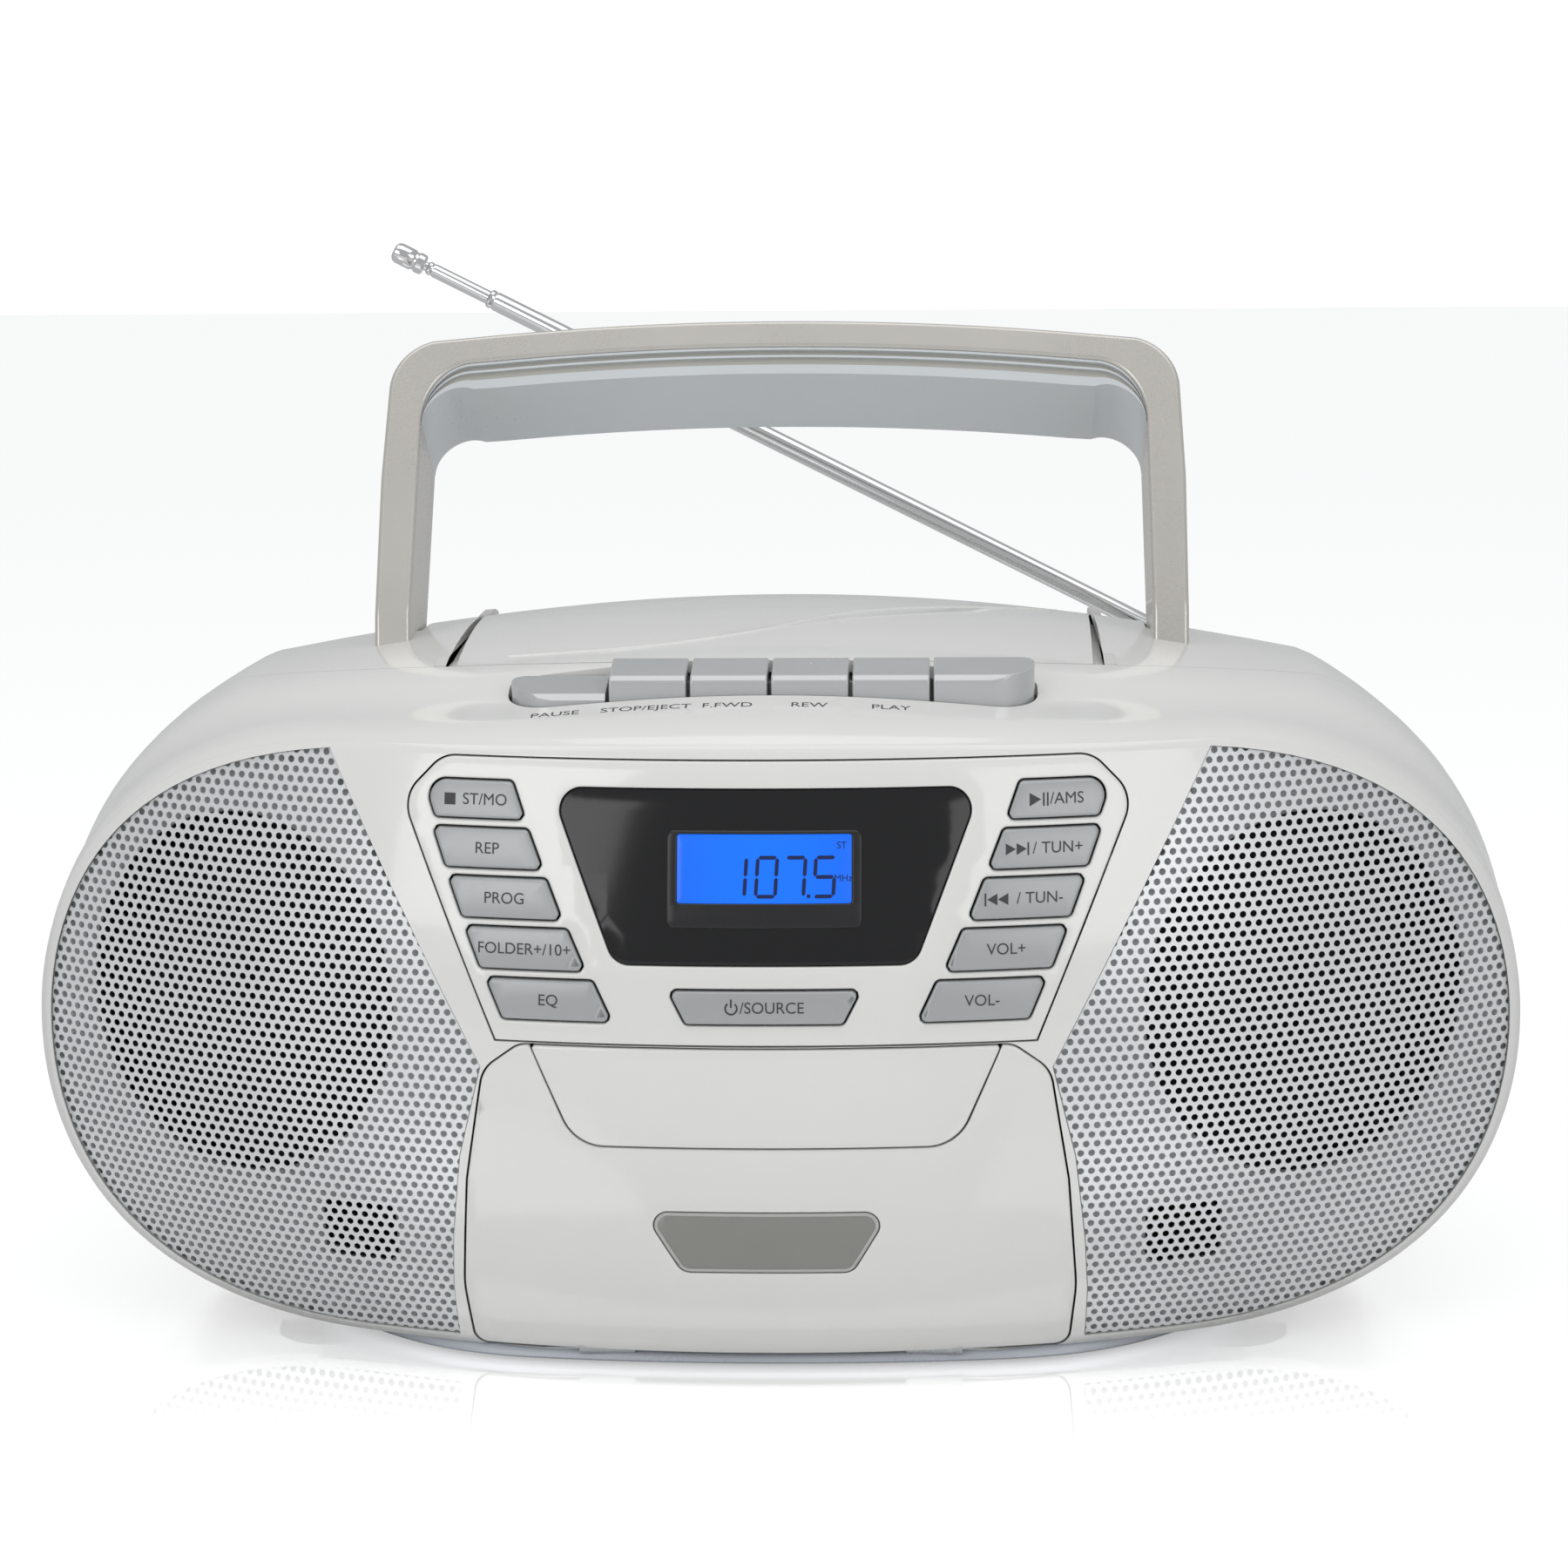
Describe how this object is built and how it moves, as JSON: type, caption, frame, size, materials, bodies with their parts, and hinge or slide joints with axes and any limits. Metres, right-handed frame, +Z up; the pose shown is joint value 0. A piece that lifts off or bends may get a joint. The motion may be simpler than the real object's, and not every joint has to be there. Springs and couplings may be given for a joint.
{
  "type": "cassette player",
  "caption": "Portable stereo with a tip-out cassette bay and piano keys, top disc lid, tuner with swing-up aerial, side speakers and a swing carrying handle.",
  "frame": {"origin": "middle of the underside, on the surface the set stands on, halfway between the front-most and rear-most points", "axes": "+X to the right seen from the front, +Y to the rear, +Z up"},
  "size_m": [0.322, 0.212, 0.2289],
  "materials": {
    "front_cabinet": "glossy white moulding",
    "rear_cabinet": "glossy white moulding",
    "base": "pale blue-grey moulding",
    "rubber_feet": "matte black rubber",
    "control_panel": "glossy white moulding",
    "display_window": "glossy black smoked acrylic",
    "lcd_module": "blue backlit display",
    "button_board": "green circuit board",
    "left_grille": "silver perforated sheet",
    "right_grille": "silver perforated sheet",
    "left_speaker": "black paper cone in a steel frame",
    "right_speaker": "black paper cone in a steel frame",
    "hinge_pins": "steel pin",
    "tape_chassis": "plated pressed steel",
    "tape_motor": "plated can",
    "drive_belt": "black rubber",
    "disc_deck": "satin pale grey moulding",
    "battery_box": "black moulding",
    "main_board": "green circuit board",
    "transformer": "varnished laminations and winding",
    "battery_springs": "plated spring steel",
    "ac_inlet": "black moulding",
    "case_screws": "dark plated steel",
    "cassette_door": "glossy white moulding",
    "door_accent": "glossy white moulding",
    "cassette_window": "grey smoked plastic",
    "cassette_holder": "black moulding",
    "disc_lid": "glossy white moulding",
    "disc_turntable": "black moulding",
    "laser_sled": "black moulding with a glass lens",
    "handle_frame": "warm silver lacquer",
    "handle_grip": "cool silver lacquer",
    "battery_door": "glossy white moulding",
    "head_plate": "plated pressed steel",
    "pinch_roller": "matte black rubber",
    "supply_spindle": "white acetal",
    "takeup_spindle": "white acetal",
    "capstan_flywheel": "turned metal",
    "motor_pulley": "turned brass",
    "aerial_swivel": "black moulding",
    "aerial_tube": "bright chrome",
    "aerial_mid": "bright chrome",
    "aerial_tip": "bright chrome",
    "key_pause": "silver lacquer",
    "key_stop_eject": "silver lacquer",
    "key_fast_forward": "silver lacquer",
    "key_rewind": "silver lacquer",
    "key_play": "silver lacquer",
    "key_record": "silver lacquer",
    "button_st_mo": "satin grey-silver lacquer",
    "button_rep": "satin grey-silver lacquer",
    "button_prog": "satin grey-silver lacquer",
    "button_folder": "satin grey-silver lacquer",
    "button_eq": "satin grey-silver lacquer",
    "button_play_pause": "satin grey-silver lacquer",
    "button_tune_up": "satin grey-silver lacquer",
    "button_tune_down": "satin grey-silver lacquer",
    "button_volume_up": "satin grey-silver lacquer",
    "button_volume_down": "satin grey-silver lacquer",
    "button_source": "satin grey-silver lacquer"
  },
  "bodies": {
    "cabinet": {"front_cabinet": "front_cabinet", "rear_cabinet": "rear_cabinet", "base": "base", "rubber_feet": "rubber_feet", "control_panel": "control_panel", "display_window": "display_window", "lcd_module": "lcd_module", "button_board": "button_board", "left_grille": "left_grille", "right_grille": "right_grille", "left_speaker": "left_speaker", "right_speaker": "right_speaker", "hinge_pins": "hinge_pins", "tape_chassis": "tape_chassis", "tape_motor": "tape_motor", "drive_belt": "drive_belt", "disc_deck": "disc_deck", "battery_box": "battery_box", "main_board": "main_board", "transformer": "transformer", "battery_springs": "battery_springs", "ac_inlet": "ac_inlet", "case_screws": "case_screws"},
    "cassette_bay": {"cassette_door": "cassette_door", "door_accent": "door_accent", "cassette_window": "cassette_window", "cassette_holder": "cassette_holder"},
    "disc_lid": {"disc_lid": "disc_lid"},
    "disc_turntable": {"disc_turntable": "disc_turntable"},
    "laser_sled": {"laser_sled": "laser_sled"},
    "handle": {"handle_frame": "handle_frame", "handle_grip": "handle_grip"},
    "battery_door": {"battery_door": "battery_door"},
    "head_plate": {"head_plate": "head_plate"},
    "pinch_roller": {"pinch_roller": "pinch_roller"},
    "supply_spindle": {"supply_spindle": "supply_spindle"},
    "takeup_spindle": {"takeup_spindle": "takeup_spindle"},
    "flywheel": {"capstan_flywheel": "capstan_flywheel"},
    "motor_pulley": {"motor_pulley": "motor_pulley"},
    "aerial_base": {"aerial_swivel": "aerial_swivel", "aerial_tube": "aerial_tube"},
    "aerial_mid": {"aerial_mid": "aerial_mid"},
    "aerial_tip": {"aerial_tip": "aerial_tip"},
    "key_pause": {"key_pause": "key_pause"},
    "key_stop_eject": {"key_stop_eject": "key_stop_eject"},
    "key_fast_forward": {"key_fast_forward": "key_fast_forward"},
    "key_rewind": {"key_rewind": "key_rewind"},
    "key_play": {"key_play": "key_play"},
    "key_record": {"key_record": "key_record"},
    "button_st_mo": {"button_st_mo": "button_st_mo"},
    "button_rep": {"button_rep": "button_rep"},
    "button_prog": {"button_prog": "button_prog"},
    "button_folder": {"button_folder": "button_folder"},
    "button_eq": {"button_eq": "button_eq"},
    "button_play_pause": {"button_play_pause": "button_play_pause"},
    "button_tune_up": {"button_tune_up": "button_tune_up"},
    "button_tune_down": {"button_tune_down": "button_tune_down"},
    "button_volume_up": {"button_volume_up": "button_volume_up"},
    "button_volume_down": {"button_volume_down": "button_volume_down"},
    "button_source": {"button_source": "button_source"}
  },
  "joints": [
    {"name": "handle_swing", "type": "hinge", "parent": "cabinet", "child": "handle", "pos_m": [0, 0, 0.118], "axis": [-1, 0, 0], "range_deg": [0, 60]},
    {"name": "cassette_door_tilt", "type": "hinge", "parent": "cabinet", "child": "cassette_bay", "pos_m": [0, -0.0835, 0.0039], "axis": [1, 0, 0], "range_deg": [0, 22]},
    {"name": "disc_lid_lift", "type": "hinge", "parent": "cabinet", "child": "disc_lid", "pos_m": [0, 0.072, 0.1385], "axis": [-1, 0, 0], "range_deg": [0, 36]},
    {"name": "disc_spin", "type": "hinge", "parent": "cabinet", "child": "disc_turntable", "pos_m": [0, 0.01, 0.13], "axis": [0, 0, 1], "continuous": true},
    {"name": "laser_travel", "type": "slide", "parent": "cabinet", "child": "laser_sled", "axis": [1, 0, 0], "range_m": [-0.002, 0.014]},
    {"name": "pause_key_press", "type": "slide", "parent": "cabinet", "child": "key_pause", "axis": [0, 0, 1], "range_m": [0, 0.0038]},
    {"name": "stop_eject_key_press", "type": "slide", "parent": "cabinet", "child": "key_stop_eject", "axis": [0, 0, -1], "range_m": [0, 0.004], "stiffness_N_per_m": 300, "springref_m": -0.001},
    {"name": "fast_forward_key_press", "type": "slide", "parent": "cabinet", "child": "key_fast_forward", "axis": [0, 0, -1], "range_m": [0, 0.004], "stiffness_N_per_m": 300, "springref_m": -0.001},
    {"name": "rewind_key_press", "type": "slide", "parent": "cabinet", "child": "key_rewind", "axis": [0, 0, -1], "range_m": [0, 0.004], "stiffness_N_per_m": 300, "springref_m": -0.001},
    {"name": "play_key_press", "type": "slide", "parent": "cabinet", "child": "key_play", "axis": [0, 0, -1], "range_m": [0, 0.004], "stiffness_N_per_m": 300, "springref_m": -0.001},
    {"name": "record_key_press", "type": "slide", "parent": "cabinet", "child": "key_record", "axis": [0, 0, -1], "range_m": [0, 0.004], "stiffness_N_per_m": 300, "springref_m": -0.001},
    {"name": "st_mo_press", "type": "slide", "parent": "cabinet", "child": "button_st_mo", "axis": [0, 1, 0], "range_m": [0, 0.001], "stiffness_N_per_m": 600, "springref_m": -0.0006},
    {"name": "rep_press", "type": "slide", "parent": "cabinet", "child": "button_rep", "axis": [0, 1, 0], "range_m": [0, 0.001], "stiffness_N_per_m": 600, "springref_m": -0.0006},
    {"name": "prog_press", "type": "slide", "parent": "cabinet", "child": "button_prog", "axis": [0, 1, 0], "range_m": [0, 0.001], "stiffness_N_per_m": 600, "springref_m": -0.0006},
    {"name": "folder_press", "type": "slide", "parent": "cabinet", "child": "button_folder", "axis": [0, 1, 0], "range_m": [0, 0.001], "stiffness_N_per_m": 600, "springref_m": -0.0006},
    {"name": "eq_press", "type": "slide", "parent": "cabinet", "child": "button_eq", "axis": [0, 1, 0], "range_m": [0, 0.001], "stiffness_N_per_m": 600, "springref_m": -0.0006},
    {"name": "play_pause_press", "type": "slide", "parent": "cabinet", "child": "button_play_pause", "axis": [0, 1, 0], "range_m": [0, 0.001], "stiffness_N_per_m": 600, "springref_m": -0.0006},
    {"name": "tune_up_press", "type": "slide", "parent": "cabinet", "child": "button_tune_up", "axis": [0, 1, 0], "range_m": [0, 0.001], "stiffness_N_per_m": 600, "springref_m": -0.0006},
    {"name": "tune_down_press", "type": "slide", "parent": "cabinet", "child": "button_tune_down", "axis": [0, 1, 0], "range_m": [0, 0.001], "stiffness_N_per_m": 600, "springref_m": -0.0006},
    {"name": "volume_up_press", "type": "slide", "parent": "cabinet", "child": "button_volume_up", "axis": [0, 1, 0], "range_m": [0, 0.001], "stiffness_N_per_m": 600, "springref_m": -0.0006},
    {"name": "volume_down_press", "type": "slide", "parent": "cabinet", "child": "button_volume_down", "axis": [0, 1, 0], "range_m": [0, 0.001], "stiffness_N_per_m": 600, "springref_m": -0.0006},
    {"name": "source_press", "type": "slide", "parent": "cabinet", "child": "button_source", "axis": [0, 1, 0], "range_m": [0, 0.001], "stiffness_N_per_m": 600, "springref_m": -0.0006},
    {"name": "head_plate_travel", "type": "slide", "parent": "cabinet", "child": "head_plate", "axis": [0, 0, -1], "range_m": [0, 0.003]},
    {"name": "pinch_roller_spin", "type": "hinge", "parent": "head_plate", "child": "pinch_roller", "pos_m": [0.031, -0.0744, 0.0726], "axis": [0, 1, 0], "continuous": true},
    {"name": "supply_spin", "type": "hinge", "parent": "cabinet", "child": "supply_spindle", "pos_m": [-0.02125, -0.066, 0.0423], "axis": [0, 1, 0], "continuous": true},
    {"name": "takeup_spin", "type": "hinge", "parent": "cabinet", "child": "takeup_spindle", "pos_m": [0.02125, -0.066, 0.0423], "axis": [0, 1, 0], "continuous": true},
    {"name": "flywheel_spin", "type": "hinge", "parent": "cabinet", "child": "flywheel", "pos_m": [0.031, -0.066, 0.062], "axis": [0, 1, 0], "continuous": true},
    {"name": "motor_spin", "type": "hinge", "parent": "cabinet", "child": "motor_pulley", "pos_m": [-0.03, -0.066, 0.08], "axis": [0, 1, 0], "continuous": true},
    {"name": "battery_door_pull", "type": "slide", "parent": "cabinet", "child": "battery_door", "axis": [0, 1, 0], "range_m": [0, 0.03]},
    {"name": "aerial_swing", "type": "hinge", "parent": "cabinet", "child": "aerial_base", "pos_m": [0.1, 0.103, 0.1273], "axis": [0, 1, 0], "range_deg": [-20, 63.3]},
    {"name": "aerial_mid_slide", "type": "slide", "parent": "aerial_base", "child": "aerial_mid", "axis": [-0.8934, 0, 0.4493], "range_m": [-0.012, 0.15]},
    {"name": "aerial_tip_slide", "type": "slide", "parent": "aerial_mid", "child": "aerial_tip", "axis": [-0.8934, 0, 0.4493], "range_m": [0, 0.15]}
  ],
  "couplings": [
    {"joint": "head_plate_travel", "follows": "play_key_press", "ratio": 0.75},
    {"joint": "motor_spin", "follows": "flywheel_spin", "ratio": 4.8889}
  ]
}
